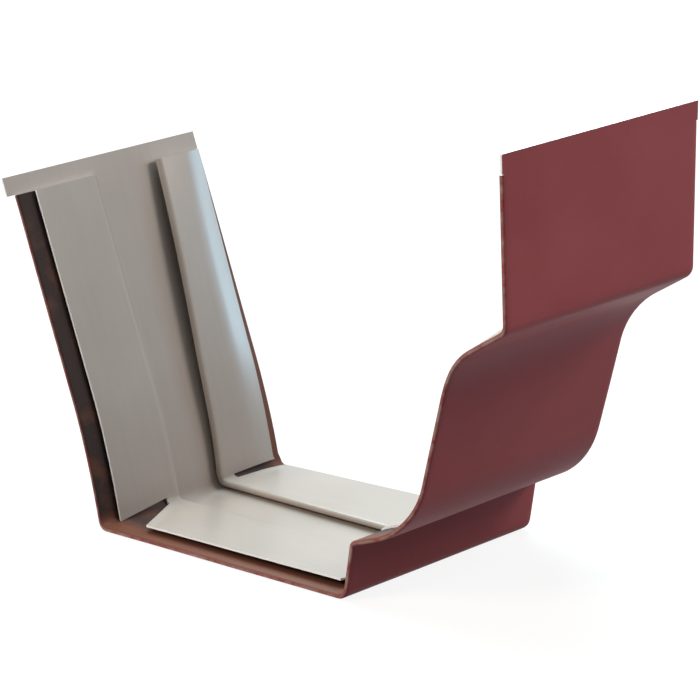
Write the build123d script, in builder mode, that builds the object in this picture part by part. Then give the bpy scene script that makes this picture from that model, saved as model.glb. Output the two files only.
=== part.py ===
"""Slip-joint connector for a K-style rain gutter: one folded sheet, in millimetres, +Z up.

X runs along the gutter, +Y is the house side, and the underside of the bottom lies on Z = 0.
The sheet's outer, painted face follows the gutter's section. At both ends the sheet is hemmed
back on itself and returned once more, so that an open pocket runs round the whole section.
"""

import os
from math import cos, radians, sin, tan

from build123d import *

os.makedirs("parts", exist_ok=True)

# Sheet and end folds
run = 61.0
sheet = 0.5
hem_gap = 0.15
pocket_gap = 1.15
pocket_reach = 25.0
flap_setback = 3.6

# Bottom and splayed back wall
bottom_width = 83.0
bend_radius = 1.0
wall_lean_foot = 9.0
wall_lean_top = 18.6
wall_foot = 4.0
wall_bow = 30.0
wall_flat = 48.4
band_height = 4.7
band_overhang = 2.3

# Ogee front, each flat between its bends
riser_lean = 13.2
riser_flat = 13.9
ledge_rise = 16.7
ledge_flat = 5.7
bulge_radius = 23.0
face_rise = 71.6
face_flat = 22.5
cove_radius = 22.0
lip_rise = 29.3
lip_flat = 9.9
fascia_bend_inside = 0.4
fascia_lean = 2.2
fascia_flat = 32.4
fascia_strip = 4.5
fascia_spread = 1.2
fascia_skew = 0.5

# Relief notches in the inner flaps at the two bottom corners
notch_reach = 18.5
notch_on_wall = 1.5
notch_on_bottom = 5.0

# Fold radii, and layer heights above the outer face
hem_outer = sheet + hem_gap / 2
pocket_floor = 2 * sheet + hem_gap
pocket_inner = pocket_gap / 2
pocket_outer = pocket_inner + sheet
pocket_middle = pocket_floor + pocket_inner
flap_under = pocket_floor + pocket_gap
flap_top = flap_under + sheet

# Ends of the run, measured from its middle: along the section, and at the top of the fascia's folds
end = run / 2
folded_share = fascia_flat / (fascia_flat + fascia_strip)
fascia_end = end + fascia_spread * folded_share


def half_outline(half_run):
    """Outline of the folded sheet from the middle of the run: hem, open pocket and free flap at one end."""
    hem_centre = hem_outer - half_run
    pocket_centre = pocket_reach - pocket_outer - half_run
    flap_edge = flap_setback - half_run
    Line((0, 0), (hem_centre, 0))
    CenterArc((hem_centre, hem_outer), hem_outer, 270, -180)
    Line((hem_centre, pocket_floor), (pocket_centre, pocket_floor))
    CenterArc((pocket_centre, pocket_middle), pocket_inner, 270, 180)
    Line((pocket_centre, flap_under), (flap_edge, flap_under))
    Line((flap_edge, flap_under), (flap_edge, flap_top))
    Line((flap_edge, flap_top), (pocket_centre, flap_top))
    CenterArc((pocket_centre, pocket_middle), pocket_outer, 90, -180)
    Line((pocket_centre, sheet + hem_gap), (hem_centre, sheet + hem_gap))
    Line((hem_centre, sheet + hem_gap), (hem_centre, sheet))
    Line((hem_centre, sheet), (0, sheet))


with BuildPart() as connector:
    # Path of the outer face round the section, with sharp bends at the bottom's corners and the riser's top
    with BuildLine(Plane.YZ) as path:
        foot = PolarLine((bottom_width / 2, 0), wall_foot, 90 - wall_lean_foot)
        bow_turn = wall_lean_top - wall_lean_foot
        bow = JernArc(foot @ 1, foot % 1, wall_bow / radians(bow_turn), -bow_turn)
        wall = Line(bow @ 1, (bow @ 1) + (bow % 1) * wall_flat)
        bottom = Line(foot @ 0, (-bottom_width / 2, 0))
        riser = PolarLine(bottom @ 1, riser_flat, 90 + riser_lean)
        ledge = PolarLine(riser @ 1, ledge_flat, 180 - ledge_rise)
        bulge = JernArc(ledge @ 1, ledge % 1, bulge_radius, ledge_rise - face_rise)
        face = Line(bulge @ 1, (bulge @ 1) + (bulge % 1) * face_flat)
        cove = JernArc(face @ 1, face % 1, cove_radius, face_rise - lip_rise)
        lip = Line(cove @ 1, (cove @ 1) + (cove % 1) * lip_flat)
        fascia_turn = lip_rise + fascia_lean - 90
        fascia_bend = JernArc(lip @ 1, lip % 1, flap_top + fascia_bend_inside, fascia_turn)

    # Folded sheet round the wall, the bottom and the ogee
    with BuildSketch(Plane(wall @ 1, x_dir=(1, 0, 0), z_dir=-(wall % 1))) as section:
        with BuildLine() as outline:
            half_outline(end)
            mirror(about=Plane.YZ)
        make_face()
    sweep(path=path.wire(), transition=Transition.RIGHT)

    # Folded sheet up the fascia, spread a little wider towards the top, most at the far end
    fascia_foot = fascia_bend @ 1
    fascia_way = fascia_bend % 1
    fascia_top = fascia_foot + fascia_way * fascia_flat + Vector(fascia_skew * folded_share, 0, 0)
    for level, half_run in ((fascia_foot, end), (fascia_top, fascia_end)):
        with BuildSketch(Plane(level, x_dir=(1, 0, 0), z_dir=fascia_way)) as fascia_section:
            with BuildLine() as fascia_outline:
                half_outline(half_run)
                mirror(about=Plane.YZ)
            make_face()
    loft(ruled=True)

    # Single sheet above the folds: the band on the back wall and the strip on the fascia
    with BuildSketch(Plane(wall @ 1, x_dir=(1, 0, 0), z_dir=wall % 1)) as band:
        band_left = -end - band_overhang
        Polygon((band_left, 0), (end, 0), (end, -sheet), (band_left, -sheet), align=None)
    extrude(amount=band_height)
    with BuildSketch(Plane(fascia_top, x_dir=(1, 0, 0), z_dir=Vector(1, 0, 0).cross(fascia_way))) as strip:
        top_skew = fascia_skew * (1 - folded_share)
        top_near = (top_skew - end - fascia_spread, fascia_strip)
        top_far = (top_skew + end + fascia_spread, fascia_strip)
        Polygon((-fascia_end, 0), (fascia_end, 0), top_far, top_near, align=None)
    extrude(amount=-sheet)

    # The bottom's corners: side 1 is the heel at the back wall, side -1 the toe at the riser
    for side, lean in ((1, wall_lean_foot), (-1, riser_lean)):
        half_turn = radians(45 - lean / 2)
        upright = (side * sin(radians(lean)), cos(radians(lean)))

        # Rounded outside of the bend
        corner = side * bottom_width / 2
        tangent = bend_radius * tan(half_turn)
        on_bottom = (corner - side * tangent, 0)
        on_wall = (corner + upright[0] * tangent, upright[1] * tangent)
        with BuildSketch(Plane.YZ) as bend:
            with BuildLine() as bend_outline:
                Line(on_bottom, (corner, 0))
                Line((corner, 0), on_wall)
                TangentArc(on_bottom, on_wall, tangent=(side, 0))
            make_face()
        extrude(amount=run, both=True, mode=Mode.SUBTRACT)

        # Relief notch at each end: a wedge out of the flap on the bottom and out of the flap beside it
        notch_corner = side * (bottom_width / 2 - pocket_middle * tan(half_turn))
        notch_slope = notch_reach / (notch_reach - flap_setback)
        inward = (0, -side * upright[1], side * upright[0])
        for way in (1, -1):
            apex = way * (end - notch_reach)
            mouth = way * end
            with BuildSketch(Plane.XY.offset(pocket_middle)) as bottom_notch:
                bottom_mouth = notch_corner - side * notch_on_bottom * notch_slope
                Polygon((apex, notch_corner), (mouth, notch_corner), (mouth, bottom_mouth), align=None)
            extrude(amount=pocket_inner + 2 * sheet, mode=Mode.SUBTRACT)
            with BuildSketch(Plane((0, notch_corner, pocket_middle), (1, 0, 0), inward)) as wall_notch:
                Polygon((apex, 0), (mouth, 0), (mouth, side * notch_on_wall * notch_slope), align=None)
            extrude(amount=pocket_inner + 2 * sheet, mode=Mode.SUBTRACT)

connector.part.label = "connector"
export_step(connector.part, "parts/connector.step")
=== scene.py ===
from math import cos, pi, radians, sin, tan

import bmesh
import bpy
from mathutils import Matrix, Vector


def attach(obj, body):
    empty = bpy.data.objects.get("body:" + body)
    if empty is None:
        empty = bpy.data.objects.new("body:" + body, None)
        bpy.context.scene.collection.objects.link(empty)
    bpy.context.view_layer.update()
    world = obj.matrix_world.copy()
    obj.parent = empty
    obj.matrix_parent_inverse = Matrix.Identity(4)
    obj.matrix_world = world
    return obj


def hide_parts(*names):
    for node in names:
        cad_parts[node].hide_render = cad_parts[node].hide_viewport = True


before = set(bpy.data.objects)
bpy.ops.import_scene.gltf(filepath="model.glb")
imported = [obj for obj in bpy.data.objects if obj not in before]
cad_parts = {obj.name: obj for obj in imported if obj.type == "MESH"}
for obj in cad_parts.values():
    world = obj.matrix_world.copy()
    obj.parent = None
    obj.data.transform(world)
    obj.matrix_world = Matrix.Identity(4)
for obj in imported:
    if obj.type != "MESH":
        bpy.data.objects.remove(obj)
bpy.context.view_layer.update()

# The connector's blank
# One piece of thin prepainted metal sheet, cut flat with a V at each bottom corner of its flaps.
# It is bent on the gutter's section: splayed back wall, flat bottom and ogee front, in millimetres.
MM = 0.001
RUN = 61.0
SHEET = 0.5
HEM_GAP = 0.15
POCKET_GAP = 1.15
POCKET_REACH = 25.0
FLAP_SETBACK = 3.6
FLAP_TOP = 3 * SHEET + HEM_GAP + POCKET_GAP
INNER_LINE = 4.2
BAND_OVERHANG = 2.3

BOTTOM_WIDTH = 83.0
WALL_LEAN_FOOT = 9.0
WALL_LEAN_TOP = 18.6
WALL_FOOT = 4.0
WALL_BOW = 30.0
WALL_FLAT = 48.4
BAND_HEIGHT = 4.7
RISER_LEAN = 13.2
RISER_FLAT = 13.9
LEDGE_RISE = 16.7
LEDGE_FLAT = 5.7
BULGE_RADIUS = 23.0
FACE_RISE = 71.6
FACE_FLAT = 22.5
COVE_RADIUS = 22.0
LIP_RISE = 29.3
LIP_FLAT = 9.9
FASCIA_RADIUS = FLAP_TOP + 0.4
FASCIA_LEAN = 2.2
FASCIA_FLAT = 32.4
FASCIA_STRIP = 4.5
HEEL_RADIUS = 2.2
TOE_RADIUS = 3.4
STEP_RADIUS = 0.7
INSIDE_RADIUS = 0.5

NOTCH_REACH = 20.0


def tangent_length(radius, turn):
    return radius * tan(radians(abs(turn)) / 2)


# Legs of the section down the wall, over the bottom and up the front: length to the sharp corner
# that ends the leg, heading, bend radius at that corner and the steps round the bend
bow_turn = WALL_LEAN_TOP - WALL_LEAN_FOOT
bow_radius = WALL_BOW / radians(bow_turn)
bow_cut = tangent_length(bow_radius, bow_turn)
bulge_cut = tangent_length(BULGE_RADIUS, FACE_RISE - LEDGE_RISE)
cove_cut = tangent_length(COVE_RADIUS, FACE_RISE - LIP_RISE)
fascia_cut = tangent_length(FASCIA_RADIUS, 90 - LIP_RISE - FASCIA_LEAN)
legs = (
    (BAND_HEIGHT + WALL_FLAT + bow_cut, 270 - WALL_LEAN_TOP, bow_radius, 10),
    (bow_cut + WALL_FOOT, 270 - WALL_LEAN_FOOT, HEEL_RADIUS, 4),
    (BOTTOM_WIDTH, 180, TOE_RADIUS, 5),
    (RISER_FLAT, 90 + RISER_LEAN, STEP_RADIUS, 6),
    (LEDGE_FLAT + bulge_cut, 180 - LEDGE_RISE, BULGE_RADIUS, 18),
    (bulge_cut + FACE_FLAT + cove_cut, 180 - FACE_RISE, COVE_RADIUS, 18),
    (cove_cut + LIP_FLAT + fascia_cut, 180 - LIP_RISE, FASCIA_RADIUS, 7),
    (fascia_cut + FASCIA_FLAT + FASCIA_STRIP, 90 + FASCIA_LEAN, None, 0),
)
BAND_LEG, FOOT_LEG, BOTTOM_LEG, RISER_LEG = range(4)
FASCIA_LEG = len(legs) - 1
straight_steps = (12, 2, 22, 5, 3, 7, 4, 11)
band_steps = 2

headings = [Vector((cos(radians(leg[1])), sin(radians(leg[1])))) for leg in legs]
inwards = [Vector((way.y, -way.x)) for way in headings]
heel = Vector((BOTTOM_WIDTH / 2, 0))
bow_corner = heel - headings[FOOT_LEG] * legs[FOOT_LEG][0]
corners = [bow_corner - headings[BAND_LEG] * legs[BAND_LEG][0], bow_corner, heel]
for leg in range(BOTTOM_LEG, len(legs)):
    corners.append(corners[-1] + headings[leg] * legs[leg][0])


def section_line(height):
    """The straights and the bends of the section, at a height above the painted face."""
    bends = []
    for leg in range(len(legs) - 1):
        turn = headings[leg].angle_signed(headings[leg + 1])
        inside = turn > 0
        mitre = (inwards[leg] + inwards[leg + 1]) / (1 + inwards[leg].dot(inwards[leg + 1]))
        corner = corners[leg + 1] + mitre * height
        radius = max(legs[leg][2] - height if inside else legs[leg][2] + height, INSIDE_RADIUS)
        start = corner - headings[leg] * radius * tan(abs(turn) / 2)
        centre = start + inwards[leg] * (radius if inside else -radius)
        spoke = start - centre
        steps = legs[leg][3]
        bend = []
        for k in range(steps + 1):
            c, s = cos(turn * k / steps), sin(turn * k / steps)
            bend.append(centre + Vector((spoke.x * c + spoke.y * s, spoke.y * c - spoke.x * s)))
        bends.append(bend)
    straights = []
    for leg in range(len(legs)):
        first = bends[leg - 1][-1] if leg else corners[0] + inwards[0] * height
        last = bends[leg][0] if leg < len(bends) else corners[-1] + inwards[-1] * height
        straights.append((first, last))
    return straights, bends


outer_straights, outer_bends = section_line(0.0)
inner_straights, inner_bends = section_line(INNER_LINE)

# Stations along the section: leg, share of its straight, step round its bend, and whether the sheet is
# single there. The folds end in a step next to the band and to the fascia's strip.
FOLD_END_STEP = 0.15
stations = []
for leg in range(len(legs)):
    length = (outer_straights[leg][1] - outer_straights[leg][0]).length
    single_top = BAND_HEIGHT / length if leg == BAND_LEG else 0.0
    single_end = 1 - FASCIA_STRIP / length if leg == FASCIA_LEG else 1.0
    if leg == BAND_LEG:
        stations += [(leg, single_top * k / band_steps, None, True) for k in range(band_steps)]
        stations.append((leg, single_top - FOLD_END_STEP / length, None, True))
    for k in range(straight_steps[leg] + 1):
        share = single_top + (single_end - single_top) * k / straight_steps[leg]
        stations.append((leg, share, None, False))
    if leg == FASCIA_LEG:
        stations.append((leg, single_end + FOLD_END_STEP / length, None, True))
        stations += [(leg, single_end + (1 - single_end) * k / band_steps, None, True) for k in (1, 2)]
    else:
        stations += [(leg, None, k, False) for k in range(1, legs[leg][3])]

# Columns across the sheet from the middle of the run to a flap's free edge: 0 to 1 is the shell,
# 1 to 2 the hem's fold, 2 to 3 the returned layer, 3 to 4 the pocket's fold and 4 to 5 the flap
hem_middle = (SHEET + HEM_GAP) / 2
pocket_middle = (SHEET + POCKET_GAP) / 2
shell_half = RUN / 2 - hem_middle - SHEET / 2
flap_start = RUN / 2 - POCKET_REACH + pocket_middle + SHEET / 2
flap_end = RUN / 2 - FLAP_SETBACK
notch_share = (RUN / 2 - NOTCH_REACH - flap_start) / (flap_end - flap_start)
folds = [0.12, 0.25, 0.38, 0.5, 0.62, 0.75, 0.87, 0.96, 1.0]
folds += [1 + k / 8 for k in range(1, 9)]
folds += [2.25, 2.5, 2.75, 3.0]
folds += [3 + k / 8 for k in range(1, 9)]
folds += [4 + notch_share * k / 3 for k in (1, 2, 3)]
folds += [4 + notch_share + (1 - notch_share) * k / 6 for k in range(1, 7)]
PRESS_FROM = notch_share + (1 - notch_share) / 2
columns = [(-1, t) for t in reversed(folds)] + [(1, 0.0)] + [(1, t) for t in folds]

# How far each notch has cut a flap back at its free edge, where a leg starts and where it ends: at the
# near end the flap on the wall hangs past the heel instead, over the wide notch of the bottom's flap
near_notches = {FOOT_LEG: (0.0, -2.0), BOTTOM_LEG: (9.8, 1.5), RISER_LEG: (-1.0, 0.0)}
far_notches = {FOOT_LEG: (0.0, 0.4), BOTTOM_LEG: (0.9, 3.0), RISER_LEG: (1.0, 0.0)}

wall_run = WALL_FLAT + WALL_BOW + WALL_FOOT


def wall_height(leg, share, step):
    """Share of the way up the back wall, from the heel to the band."""
    if leg == BAND_LEG and step is None:
        length = BAND_HEIGHT + WALL_FLAT
        return min(1.0, (WALL_FOOT + WALL_BOW + (1 - share) * length) / wall_run)
    if leg == BAND_LEG:
        return (WALL_FOOT + WALL_BOW * (1 - step / legs[BAND_LEG][3])) / wall_run
    if leg == FOOT_LEG and step is None:
        return WALL_FOOT * (1 - share) / wall_run
    return 0.0


def heel_bend(leg, share, step):
    """1 round the bend between the back wall and the bottom, 0 elsewhere."""
    round_bend = leg == FOOT_LEG and (step is not None or share == 1.0)
    return 1.0 if round_bend or (leg == BOTTOM_LEG and share == 0.0) else 0.0


def blank_points(station, side, fold):
    """The section's points at the painted face and at the inner line, drawn back along a notch."""
    leg, share, step = station[:3]
    if step is not None:
        return outer_bends[leg][step], inner_bends[leg][step]
    open_share = max(0.0, (fold - 4 - notch_share) / (1 - notch_share))
    from_start, from_end = (far_notches if side > 0 else near_notches).get(leg, (0.0, 0.0))
    drawn = headings[leg] * open_share * (from_start * (1 - share) - from_end * share)
    return outer_straights[leg][0].lerp(outer_straights[leg][1], share) + drawn, \
        inner_straights[leg][0].lerp(inner_straights[leg][1], share) + drawn


def in_notch(station, fold):
    """True round a bottom corner, beyond the point of its notch."""
    return station[0] in (FOOT_LEG, BOTTOM_LEG) and station[2] is not None and fold > 4 + notch_share + 1e-6


def along_leg(leg, share, step, levels):
    """A value at a station, from its levels where each leg's straight starts and ends."""
    if step is None:
        return levels[leg][0] + (levels[leg][1] - levels[leg][0]) * share
    turned = step / legs[leg][3]
    return levels[leg][1] + (levels[leg + 1][0] - levels[leg][1]) * turned * turned * (3 - 2 * turned)


# Levels where each leg's straight starts and ends. Near end: how far the flap stands open and is cut back.
# Far end: how much of its setback the flap keeps, how firmly its edge is pressed down, how much shorter the
# pocket's lip is and how high it lifts. Both ends: how far they are drawn in, and spread up the fascia.
flare_levels = ((0.25, 0.25), (0.25, 0.25), (0.55, 0.75), (0, 0), (0, 0), (0, 0), (0, 0.25), (1, 1))
cut_levels = ((0.24, 0.24), (0.24, 0.24), (0, 0), (1, 1), (1, 1), (1, 0), (0, 0), (0, 0))
press_levels = ((1, 1), (0.75, 0.66), (0.5, 0.3), (1, 1), (1, 1), (1, 1), (1, 1), (1, 1))
keep_levels = ((0.33, 0.62), (0.75, 0.8), (0.5, 0.17), (1, 1), (1, 1), (1, 1), (1, 1), (1, 1))
near_draw_levels = ((0.3, 0.1), (0, 0), (0, 0), (0, 0), (0, 0.35), (1, 0.9), (0.15, 0.2), (0.2, 0.2))
far_draw_levels = ((0.7, 1), (0.8, 0.45), (0.25, 0), (-0.2, -0.2),
                   (0, 0.12), (0.38, 0.3), (0, -0.3), (-0.45, 0))
lip_levels = ((0.15, 0.4), (0.9, 1), (1, 0), (0, 0), (0, 0), (0, 0), (0, 0), (0, 0))
lift_levels = ((1, 0.9), (0.45, 0.35), (0.35, 1), (1, 1), (1, 1), (1, 1), (1, 1), (1, 1))
spread_levels = ((0, 0), (0, 0), (0, 0), (0, 0), (0, 0), (0, 0), (0, 0), (0, 1))

blank = bpy.data.meshes.new("connector_blank")
points, outer_at, inner_at, fold_at, side_at, wall_at, past_at = [], [], [], [], [], [], []
flare_at, cut_at, keep_at, press_at = [], [], [], []
lip_at, lift_at, draw_at, spread_at, bend_at = [], [], [], [], []
point_at = {}


def blank_point(i, j, past=0.0):
    """Index of the blank's point at a station and a column, or past that column on a single sheet."""
    key = (i, j, past > 0)
    if key not in point_at:
        side, fold = columns[j]
        outer, inner = blank_points(stations[i], side, fold)
        point_at[key] = len(points)
        points.append((side * fold * MM, outer.x * MM, outer.y * MM))
        outer_at.extend((0.0, outer.x * MM, outer.y * MM))
        inner_at.extend((0.0, inner.x * MM, inner.y * MM))
        fold_at.append(fold)
        side_at.append(float(side))
        wall_at.append(wall_height(*stations[i][:3]))
        past_at.append(past * MM)
        bend_at.append(heel_bend(*stations[i][:3]))
        draw_levels = far_draw_levels if side > 0 else near_draw_levels
        for values, levels in ((flare_at, flare_levels), (cut_at, cut_levels), (keep_at, keep_levels),
                               (press_at, press_levels), (lip_at, lip_levels), (lift_at, lift_levels),
                               (draw_at, draw_levels), (spread_at, spread_levels)):
            values.append(along_leg(*stations[i][:3], levels))
    return point_at[key]


faces = []
shell_left = columns.index((-1, 1.0))
shell_right = columns.index((1, 1.0))
for i in range(len(stations) - 1):
    single = stations[i][3] or stations[i + 1][3]
    for j in range(len(columns) - 1):
        outermost = max(columns[j][1], columns[j + 1][1])
        if single and outermost > 1:
            continue
        if in_notch(stations[i], outermost) or in_notch(stations[i + 1], outermost):
            continue
        faces.append((blank_point(i, j), blank_point(i, j + 1),
                      blank_point(i + 1, j + 1), blank_point(i + 1, j)))
    if stations[i][3] and stations[i + 1][3]:
        past_left = RUN / 2 - shell_half + (BAND_OVERHANG if stations[i][0] == BAND_LEG else 0.0)
        past_right = RUN / 2 - shell_half
        faces.append((blank_point(i, shell_left, past_left), blank_point(i, shell_left),
                      blank_point(i + 1, shell_left), blank_point(i + 1, shell_left, past_left)))
        faces.append((blank_point(i, shell_right), blank_point(i, shell_right, past_right),
                      blank_point(i + 1, shell_right, past_right), blank_point(i + 1, shell_right)))

blank.from_pydata(points, [], faces)
for name, values in (("outer_line", outer_at), ("inner_line", inner_at)):
    blank.attributes.new(name, "FLOAT_VECTOR", "POINT").data.foreach_set("vector", values)
for name, values in (("fold", fold_at), ("side", side_at), ("wall", wall_at), ("past_end", past_at),
                     ("flare", flare_at), ("cut", cut_at), ("keep", keep_at), ("press", press_at),
                     ("lip", lip_at), ("lift", lift_at), ("bend", bend_at), ("draw", draw_at),
                     ("spread", spread_at)):
    blank.attributes.new(name, "FLOAT", "POINT").data.foreach_set("value", values)

# The paint
# Red-brown coil coating on the sheet's outer face: satin, a little uneven in tone, with a fine orange-peel
# skin and paler paint along the crest of each hem, partly rubbed wear and partly a painted highlight. Inside
# the pockets it turns a darker orange-brown, with patchy painted shade that is nearly black deep in them and
# on the wall at the near end.
HEM_CREST = 1.45
CREST_HALF = 0.45
HEM_BACK_START, HEM_BACK_END = 1.4, 1.8
DEEP_START, DEEP_END = 2.12, 2.3
WALL_FADE = 0.06
paint = bpy.data.materials.new("red_brown_coil_coat")
paint.use_nodes = True
nodes, links = paint.node_tree.nodes, paint.node_tree.links
shader = nodes["Principled BSDF"]
shader.inputs["IOR"].default_value = 1.4
shader.inputs["Specular IOR Level"].default_value = 0.16
place = nodes.new("ShaderNodeTexCoord")
cloud = nodes.new("ShaderNodeTexNoise")
cloud.inputs["Scale"].default_value = 45.0
cloud.inputs["Detail"].default_value = 5.0
tone = nodes.new("ShaderNodeValToRGB")
tone.color_ramp.elements[0].position = 0.3
tone.color_ramp.elements[0].color = (0.325, 0.066, 0.07, 1)
tone.color_ramp.elements[1].position = 0.7
tone.color_ramp.elements[1].color = (0.375, 0.084, 0.088, 1)
fold_along = nodes.new("ShaderNodeAttribute")
fold_along.attribute_name = "fold"
from_crest = nodes.new("ShaderNodeMath")
from_crest.operation = "SUBTRACT"
from_crest.inputs[1].default_value = HEM_CREST
crest_distance = nodes.new("ShaderNodeMath")
crest_distance.operation = "ABSOLUTE"
crest = nodes.new("ShaderNodeMapRange")
crest.inputs["From Min"].default_value = CREST_HALF
crest.inputs["From Max"].default_value = 0.0
# Paler paint along each hem's crest in random spots: partly rubbed wear, partly a painted highlight where the
# hem's edge catches the light.
crest_noise = nodes.new("ShaderNodeTexNoise")
crest_noise.inputs["Scale"].default_value = 420.0
crest_noise.inputs["Detail"].default_value = 6.0
crest_spots = nodes.new("ShaderNodeMapRange")
crest_spots.inputs["From Min"].default_value = 0.35
crest_spots.inputs["From Max"].default_value = 0.65
crest_wear_and_highlight = nodes.new("ShaderNodeMath")
crest_wear_and_highlight.operation = "MULTIPLY"
worn_and_lit_crest = nodes.new("ShaderNodeMix")
worn_and_lit_crest.data_type = "RGBA"
worn_and_lit_crest.inputs[7].default_value = (0.52, 0.35, 0.29, 1)
skin = nodes.new("ShaderNodeTexNoise")
skin.inputs["Scale"].default_value = 900.0
skin.inputs["Detail"].default_value = 3.0
sheen = nodes.new("ShaderNodeMapRange")
sheen.inputs["To Min"].default_value = 0.45
sheen.inputs["To Max"].default_value = 0.6
peel = nodes.new("ShaderNodeBump")
peel.inputs["Strength"].default_value = 0.12
peel.inputs["Distance"].default_value = 0.0002
for texture in (cloud, crest_noise, skin):
    links.new(place.outputs["Object"], texture.inputs["Vector"])
links.new(cloud.outputs["Fac"], tone.inputs["Fac"])
links.new(fold_along.outputs["Fac"], from_crest.inputs[0])
links.new(from_crest.outputs[0], crest_distance.inputs[0])
links.new(crest_distance.outputs[0], crest.inputs["Value"])
links.new(crest_noise.outputs["Fac"], crest_spots.inputs["Value"])
links.new(crest.outputs["Result"], crest_wear_and_highlight.inputs[0])
links.new(crest_spots.outputs["Result"], crest_wear_and_highlight.inputs[1])
links.new(crest_wear_and_highlight.outputs[0], worn_and_lit_crest.inputs["Factor"])
links.new(tone.outputs["Color"], worn_and_lit_crest.inputs[6])
inside_pocket = nodes.new("ShaderNodeMapRange")
inside_pocket.inputs["From Min"].default_value = HEM_BACK_START
inside_pocket.inputs["From Max"].default_value = HEM_BACK_END
pocket_toned = nodes.new("ShaderNodeMix")
pocket_toned.data_type = "RGBA"
# From the hem's crest inwards the paint turns a darker orange-brown; the near-black colour mixed in is
# painted shade.
pocket_brown_to_shade = nodes.new("ShaderNodeMix")
pocket_brown_to_shade.data_type = "RGBA"
pocket_brown_to_shade.inputs[6].default_value = (0.118, 0.043, 0.026, 1)
pocket_brown_to_shade.inputs[7].default_value = (0.03, 0.019, 0.018, 1)
up_wall = nodes.new("ShaderNodeAttribute")
up_wall.attribute_name = "wall"
on_wall = nodes.new("ShaderNodeMapRange")
on_wall.inputs["From Max"].default_value = WALL_FADE
which_end = nodes.new("ShaderNodeAttribute")
which_end.attribute_name = "side"
at_near_end = nodes.new("ShaderNodeMapRange")
at_near_end.inputs["From Min"].default_value = 1.0
at_near_end.inputs["From Max"].default_value = -1.0
# Painted shade on the wall at the near end, where the open flap shades the returned layer.
near_wall_shade = nodes.new("ShaderNodeMath")
near_wall_shade.operation = "MULTIPLY"
# Painted shade deep in the pockets, under the flaps.
deep_pocket_shade = nodes.new("ShaderNodeMapRange")
deep_pocket_shade.inputs["From Min"].default_value = DEEP_START
deep_pocket_shade.inputs["From Max"].default_value = DEEP_END
pocket_shade_mask = nodes.new("ShaderNodeMath")
pocket_shade_mask.operation = "MAXIMUM"
links.new(up_wall.outputs["Fac"], on_wall.inputs["Value"])
links.new(which_end.outputs["Fac"], at_near_end.inputs["Value"])
links.new(on_wall.outputs["Result"], near_wall_shade.inputs[0])
links.new(at_near_end.outputs["Result"], near_wall_shade.inputs[1])
mottle = nodes.new("ShaderNodeTexNoise")
mottle.inputs["Scale"].default_value = 170.0
mottle.inputs["Detail"].default_value = 4.0
# The painted shade is at full or half strength in random patches.
shade_patches = nodes.new("ShaderNodeMapRange")
shade_patches.inputs["From Min"].default_value = 0.48
shade_patches.inputs["From Max"].default_value = 0.68
shade_patches.inputs["To Min"].default_value = 1.0
shade_patches.inputs["To Max"].default_value = 0.5
spotted_shade = nodes.new("ShaderNodeMath")
spotted_shade.operation = "MULTIPLY"
links.new(place.outputs["Object"], mottle.inputs["Vector"])
links.new(mottle.outputs["Fac"], shade_patches.inputs["Value"])
links.new(pocket_shade_mask.outputs[0], spotted_shade.inputs[0])
links.new(shade_patches.outputs["Result"], spotted_shade.inputs[1])
links.new(fold_along.outputs["Fac"], deep_pocket_shade.inputs["Value"])
links.new(near_wall_shade.outputs[0], pocket_shade_mask.inputs[0])
links.new(deep_pocket_shade.outputs["Result"], pocket_shade_mask.inputs[1])
links.new(spotted_shade.outputs[0], pocket_brown_to_shade.inputs["Factor"])
links.new(pocket_brown_to_shade.outputs[2], pocket_toned.inputs[7])
links.new(fold_along.outputs["Fac"], inside_pocket.inputs["Value"])
links.new(inside_pocket.outputs["Result"], pocket_toned.inputs["Factor"])
links.new(worn_and_lit_crest.outputs[2], pocket_toned.inputs[6])
links.new(pocket_toned.outputs[2], shader.inputs["Base Color"])
links.new(cloud.outputs["Fac"], sheen.inputs["Value"])
links.new(sheen.outputs["Result"], shader.inputs["Roughness"])
links.new(skin.outputs["Fac"], peel.inputs["Height"])
links.new(peel.outputs["Normal"], shader.inputs["Normal"])

# The back coat
# Thin warm-grey primer on the sheet's inner face: satin, with faint roller lines along the coil and slight
# smears left by handling. It has gone dull where the sheet was bent at the heel and at the wall's pockets.
POCKET_CREST = 3.55
POCKET_HALF = 0.5
DULL_ROUGHNESS = 0.9
coat = bpy.data.materials.new("grey_back_coat")
coat.use_nodes = True
nodes, links = coat.node_tree.nodes, coat.node_tree.links
shader = nodes["Principled BSDF"]
shader.inputs["IOR"].default_value = 1.5
shader.inputs["Specular IOR Level"].default_value = 0.5
place = nodes.new("ShaderNodeTexCoord")
along_coil = nodes.new("ShaderNodeMapping")
along_coil.inputs["Scale"].default_value = (700.0, 25.0, 25.0)
roller = nodes.new("ShaderNodeTexNoise")
roller.inputs["Scale"].default_value = 1.0
roller.inputs["Detail"].default_value = 4.0
smear = nodes.new("ShaderNodeTexNoise")
smear.inputs["Scale"].default_value = 38.0
smear.inputs["Detail"].default_value = 6.0
blend_lines = nodes.new("ShaderNodeMix")
blend_lines.data_type = "FLOAT"
blend_lines.inputs["Factor"].default_value = 0.6
tone = nodes.new("ShaderNodeValToRGB")
tone.color_ramp.elements[0].position = 0.3
tone.color_ramp.elements[0].color = (0.285, 0.24, 0.21, 1)
tone.color_ramp.elements[1].position = 0.7
tone.color_ramp.elements[1].color = (0.31, 0.265, 0.234, 1)
sheen = nodes.new("ShaderNodeMapRange")
sheen.inputs["To Min"].default_value = 0.24
sheen.inputs["To Max"].default_value = 0.36
grain = nodes.new("ShaderNodeBump")
grain.inputs["Strength"].default_value = 0.04
grain.inputs["Distance"].default_value = 0.0002
links.new(place.outputs["Object"], along_coil.inputs["Vector"])
links.new(along_coil.outputs["Vector"], roller.inputs["Vector"])
links.new(place.outputs["Object"], smear.inputs["Vector"])
links.new(roller.outputs["Fac"], blend_lines.inputs[2])
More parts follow.
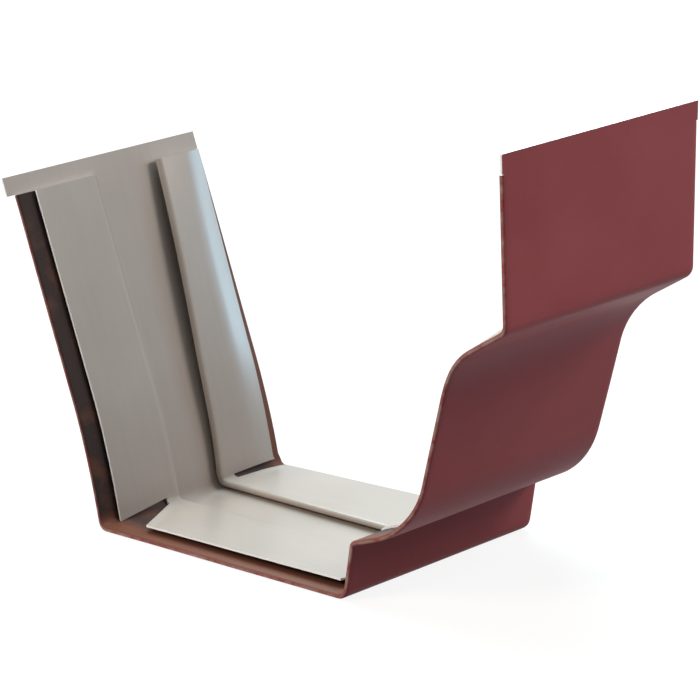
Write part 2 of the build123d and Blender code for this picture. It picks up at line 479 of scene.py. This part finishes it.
links.new(smear.outputs["Fac"], blend_lines.inputs[3])
links.new(blend_lines.outputs[0], tone.inputs["Fac"])
links.new(tone.outputs["Color"], shader.inputs["Base Color"])
fold_along = nodes.new("ShaderNodeAttribute")
fold_along.attribute_name = "fold"
from_fold = nodes.new("ShaderNodeMath")
from_fold.operation = "SUBTRACT"
from_fold.inputs[1].default_value = POCKET_CREST
fold_distance = nodes.new("ShaderNodeMath")
fold_distance.operation = "ABSOLUTE"
dull = nodes.new("ShaderNodeMapRange")
dull.inputs["From Min"].default_value = POCKET_HALF
dull.inputs["From Max"].default_value = 0.44
up_wall = nodes.new("ShaderNodeAttribute")
up_wall.attribute_name = "wall"
on_wall = nodes.new("ShaderNodeMapRange")
on_wall.inputs["From Max"].default_value = WALL_FADE
wall_dull = nodes.new("ShaderNodeMath")
wall_dull.operation = "MULTIPLY"
dulled = nodes.new("ShaderNodeMix")
dulled.data_type = "FLOAT"
dulled.inputs[3].default_value = DULL_ROUGHNESS
links.new(smear.outputs["Fac"], sheen.inputs["Value"])
links.new(fold_along.outputs["Fac"], from_fold.inputs[0])
links.new(from_fold.outputs[0], fold_distance.inputs[0])
links.new(fold_distance.outputs[0], dull.inputs["Value"])
links.new(up_wall.outputs["Fac"], on_wall.inputs["Value"])
links.new(dull.outputs["Result"], wall_dull.inputs[0])
links.new(on_wall.outputs["Result"], wall_dull.inputs[1])
heel_bent = nodes.new("ShaderNodeAttribute")
heel_bent.attribute_name = "bend"
all_dull = nodes.new("ShaderNodeMath")
all_dull.operation = "MAXIMUM"
links.new(wall_dull.outputs[0], all_dull.inputs[0])
links.new(heel_bent.outputs["Fac"], all_dull.inputs[1])
links.new(all_dull.outputs[0], dulled.inputs["Factor"])
links.new(sheen.outputs["Result"], dulled.inputs[2])
links.new(dulled.outputs[0], shader.inputs["Roughness"])
links.new(roller.outputs["Fac"], grain.inputs["Height"])
links.new(grain.outputs["Normal"], shader.inputs["Normal"])

# The cut edge
# Aluminium where the sheet was sheared: dull and pale rather than mirror-bright, with fine drag marks
# through the thickness.
edge = bpy.data.materials.new("sheared_aluminium")
edge.use_nodes = True
nodes, links = edge.node_tree.nodes, edge.node_tree.links
shader = nodes["Principled BSDF"]
shader.inputs["Metallic"].default_value = 0.1
place = nodes.new("ShaderNodeTexCoord")
drag = nodes.new("ShaderNodeTexNoise")
drag.inputs["Scale"].default_value = 2200.0
drag.inputs["Detail"].default_value = 2.0
tone = nodes.new("ShaderNodeValToRGB")
tone.color_ramp.elements[0].position = 0.3
tone.color_ramp.elements[0].color = (0.88, 0.88, 0.88, 1)
tone.color_ramp.elements[1].position = 0.7
tone.color_ramp.elements[1].color = (0.96, 0.96, 0.97, 1)
sheen = nodes.new("ShaderNodeMapRange")
sheen.inputs["To Min"].default_value = 0.3
sheen.inputs["To Max"].default_value = 0.5
links.new(place.outputs["Object"], drag.inputs["Vector"])
links.new(drag.outputs["Fac"], tone.inputs["Fac"])
links.new(tone.outputs["Color"], shader.inputs["Base Color"])
links.new(drag.outputs["Fac"], sheen.inputs["Value"])
links.new(sheen.outputs["Result"], shader.inputs["Roughness"])

# The folded connector
# Both ends of the blank are hemmed inwards, then returned as a flap over an open pocket that takes the
# gutter's end. The near pocket's fold is pressed flat and its flap stands open; the far one's lip lifts off
# the sheet and its flap is pressed down along the edge.
tree = bpy.data.node_groups.new("fold_the_ends", "GeometryNodeTree")
tree.interface.new_socket(name="Blank", in_out="INPUT", socket_type="NodeSocketGeometry")
tree.interface.new_socket(name="Connector", in_out="OUTPUT", socket_type="NodeSocketGeometry")
sizes = {
    "Half run": RUN / 2 * MM,
    "Sheet": SHEET * MM,
    "Hem radius": hem_middle * MM,
    "Pocket reach": POCKET_REACH * MM,
    "Flap setback": FLAP_SETBACK * MM,
    "Inner line": INNER_LINE * MM,
    "Near draw-in": 2.2 * MM,
    "Far draw-in": 1.6 * MM,
    "Fascia spread": 1.2 * MM,
    "Fascia skew": 0.5 * MM,
    "Near cut-back": 7.0 * MM,
    "Near pocket radius": 0.26 * MM,
    "Far pocket radius": 0.55 * MM,
    "Near flap flare": 2.25 * MM,
    "Far return lift": 0.9 * MM,
    "Far flap press": 1.7 * MM,
    "Far lip taper": 9.0 * MM,
    "Far lip setback": 3.0 * MM,
    "Far lip lift": 0.9 * MM,
    "Waviness": 0.15 * MM,
}
identifiers = {}
for name in sizes:
    socket = tree.interface.new_socket(name=name, in_out="INPUT", socket_type="NodeSocketFloat")
    socket.subtype = "DISTANCE"
    identifiers[name] = socket.identifier
start = tree.nodes.new("NodeGroupInput")
size = start.outputs


def math(operation, *values, clamp=False):
    """Output of a math node in the folding tree, fed by sockets or by plain values."""
    node = tree.nodes.new("ShaderNodeMath")
    node.operation = operation
    node.use_clamp = clamp
    for socket, value in zip(node.inputs, values):
        if isinstance(value, (int, float)):
            socket.default_value = value
        else:
            tree.links.new(value, socket)
    return node.outputs[0]


def blank_value(name, kind="FLOAT"):
    """Output that reads one of the blank's named values."""
    node = tree.nodes.new("GeometryNodeInputNamedAttribute")
    node.data_type = kind
    node.inputs["Name"].default_value = name
    return node.outputs["Attribute"]


fold = blank_value("fold")
side = blank_value("side")
shell_part = math("ADD", fold, 0.0, clamp=True)
hem_part = math("SUBTRACT", fold, 1.0, clamp=True)
return_part = math("SUBTRACT", fold, 2.0, clamp=True)
pocket_part = math("SUBTRACT", fold, 3.0, clamp=True)
flap_part = math("SUBTRACT", fold, 4.0, clamp=True)
hem_angle = math("MULTIPLY", hem_part, pi)
pocket_angle = math("MULTIPLY", pocket_part, pi)
half_sheet = math("MULTIPLY", size["Sheet"], 0.5)
near_end = math("LESS_THAN", side, 0.0)
far_end = math("GREATER_THAN", side, 0.0)
far_wall = math("MULTIPLY", blank_value("wall"), far_end)
pocket_radius = math("MULTIPLY", size["Near pocket radius"], near_end)
pocket_radius = math("ADD", pocket_radius, math("MULTIPLY", size["Far pocket radius"], far_end))

spread = math("ADD", size["Fascia spread"], math("MULTIPLY", size["Fascia skew"], side))
half_run = math("ADD", size["Half run"], math("MULTIPLY", spread, blank_value("spread")))
draw = math("MULTIPLY", size["Near draw-in"], near_end)
draw = math("ADD", draw, math("MULTIPLY", size["Far draw-in"], far_end))
half_run = math("SUBTRACT", half_run, math("MULTIPLY", draw, blank_value("draw")))
hem_x = math("SUBTRACT", math("SUBTRACT", half_run, size["Hem radius"]), half_sheet)
reach = math("SUBTRACT", size["Pocket reach"], math("MULTIPLY", size["Far lip taper"], far_wall))
lip_setback = math("MULTIPLY", math("MULTIPLY", size["Far lip setback"], blank_value("lip")), far_end)
reach = math("SUBTRACT", reach, lip_setback)
lip_x = math("SUBTRACT", half_run, reach)
pocket_x = math("ADD", lip_x, math("ADD", pocket_radius, half_sheet))
far_setback = math("MULTIPLY", math("MULTIPLY", size["Flap setback"], blank_value("keep")), far_end)
near_setback = math("ADD", size["Flap setback"], math("MULTIPLY", size["Near cut-back"], blank_value("cut")))
setback = math("ADD", far_setback, math("MULTIPLY", near_setback, near_end))
edge_x = math("SUBTRACT", half_run, setback)

x = math("MULTIPLY", hem_x, shell_part)
x = math("ADD", x, math("MULTIPLY", size["Hem radius"], math("SINE", hem_angle)))
x = math("ADD", x, math("MULTIPLY", math("SUBTRACT", pocket_x, hem_x), return_part))
x = math("SUBTRACT", x, math("MULTIPLY", pocket_radius, math("SINE", pocket_angle)))
x = math("ADD", x, math("MULTIPLY", math("SUBTRACT", edge_x, pocket_x), flap_part))
x = math("ADD", x, blank_value("past_end"))
x = math("MULTIPLY", x, side)

height = math("MULTIPLY", size["Hem radius"], math("SUBTRACT", 1.0, math("COSINE", hem_angle)))
pocket_rise = math("MULTIPLY", pocket_radius, math("SUBTRACT", 1.0, math("COSINE", pocket_angle)))
BOW_SKEW, FLARE_CURVE, PRESS_CURVE = 1.6, 1.3, 1.4
lip_bow = math("SINE", math("MULTIPLY", math("POWER", far_wall, BOW_SKEW), pi))
bow_part = math("SUBTRACT", return_part, flap_part)
lift = math("MULTIPLY", math("MULTIPLY", size["Far lip lift"], lip_bow), bow_part)
return_lift = math("MULTIPLY", math("MULTIPLY", size["Far return lift"], return_part), blank_value("lift"))
lift = math("ADD", lift, math("MULTIPLY", return_lift, far_end))
flare = math("MULTIPLY", size["Near flap flare"], math("POWER", flap_part, FLARE_CURVE))
flare = math("MULTIPLY", flare, blank_value("flare"))
lift = math("ADD", lift, math("MULTIPLY", flare, near_end))
pressed = math("DIVIDE", math("SUBTRACT", flap_part, PRESS_FROM), 1 - PRESS_FROM, clamp=True)
pressed = math("POWER", pressed, PRESS_CURVE)
pressed = math("MULTIPLY", pressed, math("MULTIPLY", blank_value("press"), far_end))
flap_share = math("DIVIDE", math("SUBTRACT", edge_x, pocket_x), size["Pocket reach"])
press = math("MULTIPLY", size["Far flap press"], flap_share)
lift = math("SUBTRACT", lift, math("MULTIPLY", press, pressed))
height = math("ADD", math("ADD", height, half_sheet), math("ADD", pocket_rise, lift))

along = tree.nodes.new("ShaderNodeCombineXYZ")
tree.links.new(x, along.inputs["X"])
wave_place = tree.nodes.new("ShaderNodeVectorMath")
wave_place.operation = "ADD"
tree.links.new(blank_value("outer_line", "FLOAT_VECTOR"), wave_place.inputs[0])
tree.links.new(along.outputs[0], wave_place.inputs[1])
wave = tree.nodes.new("ShaderNodeTexNoise")
wave.inputs["Scale"].default_value = 32.0
wave.inputs["Detail"].default_value = 1.0
tree.links.new(wave_place.outputs[0], wave.inputs["Vector"])
height = math("ADD", height, math("MULTIPLY", size["Waviness"], wave.outputs["Fac"]))

through = tree.nodes.new("ShaderNodeMix")
through.data_type = "VECTOR"
through.clamp_factor = False
tree.links.new(math("DIVIDE", height, size["Inner line"]), through.inputs["Factor"])
tree.links.new(blank_value("outer_line", "FLOAT_VECTOR"), through.inputs[4])
tree.links.new(blank_value("inner_line", "FLOAT_VECTOR"), through.inputs[5])
folded_place = tree.nodes.new("ShaderNodeVectorMath")
folded_place.operation = "ADD"
tree.links.new(through.outputs[1], folded_place.inputs[0])
tree.links.new(along.outputs[0], folded_place.inputs[1])

move = tree.nodes.new("GeometryNodeSetPosition")
realize = tree.nodes.new("GeometryNodeRealizeInstances")
finish = tree.nodes.new("GeometryNodeSetMaterial")
finish.inputs["Material"].default_value = paint
out = tree.nodes.new("NodeGroupOutput")
tree.links.new(size["Blank"], move.inputs["Geometry"])
tree.links.new(folded_place.outputs[0], move.inputs["Position"])
tree.links.new(move.outputs["Geometry"], realize.inputs["Geometry"])
tree.links.new(realize.outputs["Geometry"], finish.inputs["Geometry"])
tree.links.new(finish.outputs["Geometry"], out.inputs[0])

connector = bpy.data.objects.new("folded_connector", blank)
bpy.context.scene.collection.objects.link(connector)
folding = connector.modifiers.new("fold", "NODES")
folding.node_group = tree
for name, value in sizes.items():
    folding[identifiers[name]] = value


def settle(piece):
    """Replaces a piece's mesh by the result of its modifiers."""
    view_layer = bpy.context.evaluated_depsgraph_get()
    settled = bpy.data.meshes.new_from_object(piece.evaluated_get(view_layer), depsgraph=view_layer)
    piece.modifiers.clear()
    piece.data = settled
    return settled


sheet_mesh = settle(connector)
shape = bmesh.new()
shape.from_mesh(sheet_mesh)
bmesh.ops.remove_doubles(shape, verts=shape.verts, dist=0.0001 * MM)
shape.to_mesh(sheet_mesh)
shape.free()
sheet_mesh.materials.clear()
for finish_material in (paint, coat, edge):
    sheet_mesh.materials.append(finish_material)
thickness = connector.modifiers.new("sheet", "SOLIDIFY")
thickness.thickness = SHEET * MM
thickness.offset = 0.0
thickness.use_even_offset = True
thickness.use_quality_normals = True
thickness.material_offset = 1
thickness.material_offset_rim = 2
sheet_mesh = settle(connector)
sheet_mesh.shade_smooth()
SHARP_ANGLE = 38
sheet_mesh.set_sharp_from_angle(angle=radians(SHARP_ANGLE))
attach(connector, "root")
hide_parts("connector")

# The studio
# A pale paper floor that keeps a light shadow, and white all round. Two broad cool lamps hang above and
# behind, a warm one stands in front, and two small ones at the sides pick out the edges and the far flap.
FLOOR_HALF = 6.0
SEEN_WHITE = 0.88
floor_corners = [(x_way * FLOOR_HALF, y_way * FLOOR_HALF, 0)
                 for x_way, y_way in ((-1, -1), (1, -1), (1, 1), (-1, 1))]
floor_mesh = bpy.data.meshes.new("studio_floor")
floor_mesh.from_pydata(floor_corners, [], [(0, 1, 2, 3)])
floor = bpy.data.objects.new("studio_floor", floor_mesh)
bpy.context.scene.collection.objects.link(floor)
paper = bpy.data.materials.new("pale_paper")
paper.use_nodes = True
nodes, links = paper.node_tree.nodes, paper.node_tree.links
nodes.remove(nodes["Principled BSDF"])
matte = nodes.new("ShaderNodeBsdfDiffuse")
matte_tone = nodes.new("ShaderNodeMix")
matte_tone.data_type = "RGBA"
matte_tone.inputs[6].default_value = (0.09, 0.1, 0.12, 1)
matte_tone.inputs[7].default_value = (0.92, 0.92, 0.92, 1)
white = nodes.new("ShaderNodeEmission")
seen = nodes.new("ShaderNodeLightPath")
seen_share = nodes.new("ShaderNodeMath")
seen_share.operation = "MULTIPLY"
seen_share.inputs[1].default_value = SEEN_WHITE
mix = nodes.new("ShaderNodeMixShader")
seen_or_mirrored = nodes.new("ShaderNodeMath")
seen_or_mirrored.operation = "MAXIMUM"
seen_any = nodes.new("ShaderNodeMath")
seen_any.operation = "MAXIMUM"
links.new(seen.outputs["Is Camera Ray"], seen_or_mirrored.inputs[0])
links.new(seen.outputs["Is Glossy Ray"], seen_or_mirrored.inputs[1])
links.new(seen_or_mirrored.outputs[0], seen_any.inputs[0])
links.new(seen.outputs["Is Transmission Ray"], seen_any.inputs[1])
links.new(seen_any.outputs[0], seen_share.inputs[0])
links.new(seen_any.outputs[0], matte_tone.inputs["Factor"])
links.new(matte_tone.outputs[2], matte.inputs["Color"])
links.new(seen_share.outputs[0], mix.inputs[0])
links.new(matte.outputs[0], mix.inputs[1])
links.new(white.outputs[0], mix.inputs[2])
links.new(mix.outputs[0], nodes["Material Output"].inputs["Surface"])
floor_mesh.materials.append(paper)

world = bpy.data.worlds.new("studio_white")
bpy.context.scene.world = world
world.use_nodes = True
nodes, links = world.node_tree.nodes, world.node_tree.links
sky = nodes["Background"]
sky.inputs["Color"].default_value = (0.96, 0.98, 1.0, 1)
sky.inputs["Strength"].default_value = 0.16
backdrop = nodes.new("ShaderNodeBackground")
seen = nodes.new("ShaderNodeLightPath")
seen_or_mirrored = nodes.new("ShaderNodeMath")
seen_or_mirrored.operation = "MAXIMUM"
seen_any = nodes.new("ShaderNodeMath")
seen_any.operation = "MAXIMUM"
mix = nodes.new("ShaderNodeMixShader")
links.new(seen.outputs["Is Camera Ray"], seen_or_mirrored.inputs[0])
links.new(seen.outputs["Is Glossy Ray"], seen_or_mirrored.inputs[1])
links.new(seen_or_mirrored.outputs[0], seen_any.inputs[0])
links.new(seen.outputs["Is Transmission Ray"], seen_any.inputs[1])
links.new(seen_any.outputs[0], mix.inputs[0])
links.new(sky.outputs[0], mix.inputs[1])
links.new(backdrop.outputs[0], mix.inputs[2])
links.new(mix.outputs[0], nodes["World Output"].inputs["Surface"])


def lamp(name, place, aim, width, power, tint):
    """A square soft lamp at a place, turned to an aim."""
    data = bpy.data.lights.new(name, "AREA")
    data.shape = "SQUARE"
    data.size = width
    data.energy = power
    data.color = tint
    item = bpy.data.objects.new(name, data)
    item.location = place
    item.rotation_euler = (Vector(aim) - Vector(place)).to_track_quat("-Z", "Y").to_euler()
    bpy.context.scene.collection.objects.link(item)


lamp("overhead_softbox", (0.35, 0.36, 1.05), (0.0, -0.01, 0.04), 1.0, 26.5, (0.7, 0.92, 1.0))
lamp("back_softbox", (0.5, 0.55, 0.95), (0.0, -0.01, 0.02), 0.8, 5.0, (0.75, 0.91, 1.0))
lamp("front_softbox", (0.8, -0.68, 0.75), (0.0, -0.01, 0.04), 0.5, 9.2, (1.0, 0.89, 0.81))
lamp("far_side_lamp", (0.97, -0.38, 0.2), (0.0, -0.01, 0.05), 0.25, 2.9, (0.5, 0.8, 1.0))
lamp("near_side_lamp", (-0.85, 0.3, 0.7), (0.0, -0.01, 0.03), 0.4, 10.0, (1.0, 0.88, 0.76))

# The camera
# A long lens, turned a little on its axis, at the height from which the photograph was taken.
AZIMUTH, ELEVATION, ROLL = radians(-44.493), radians(15.575), radians(-3.0)
TARGET = Vector((0.0, -0.01601, 0.046915))
DISTANCE = 0.78072
FOCAL_PIXELS = 3400.0
IMAGE_WIDTH = 700.0
back = Vector((sin(AZIMUTH) * cos(ELEVATION), -cos(AZIMUTH) * cos(ELEVATION), sin(ELEVATION)))
right = Vector((0, 0, 1)).cross(back).normalized()
up = back.cross(right)
turned_right = right * cos(ROLL) + up * sin(ROLL)
turned_up = up * cos(ROLL) - right * sin(ROLL)
lens = bpy.data.cameras.new("long_lens")
lens.sensor_fit = "HORIZONTAL"
lens.sensor_width = 36.0
lens.lens = FOCAL_PIXELS / IMAGE_WIDTH * lens.sensor_width
lens.clip_start = 0.01
camera = bpy.data.objects.new("camera", lens)
camera.matrix_world = Matrix((turned_right, turned_up, back)).transposed().to_4x4()
camera.location = TARGET + back * DISTANCE
bpy.context.scene.collection.objects.link(camera)
bpy.context.scene.camera = camera
bpy.context.scene.view_settings.view_transform = "Standard"
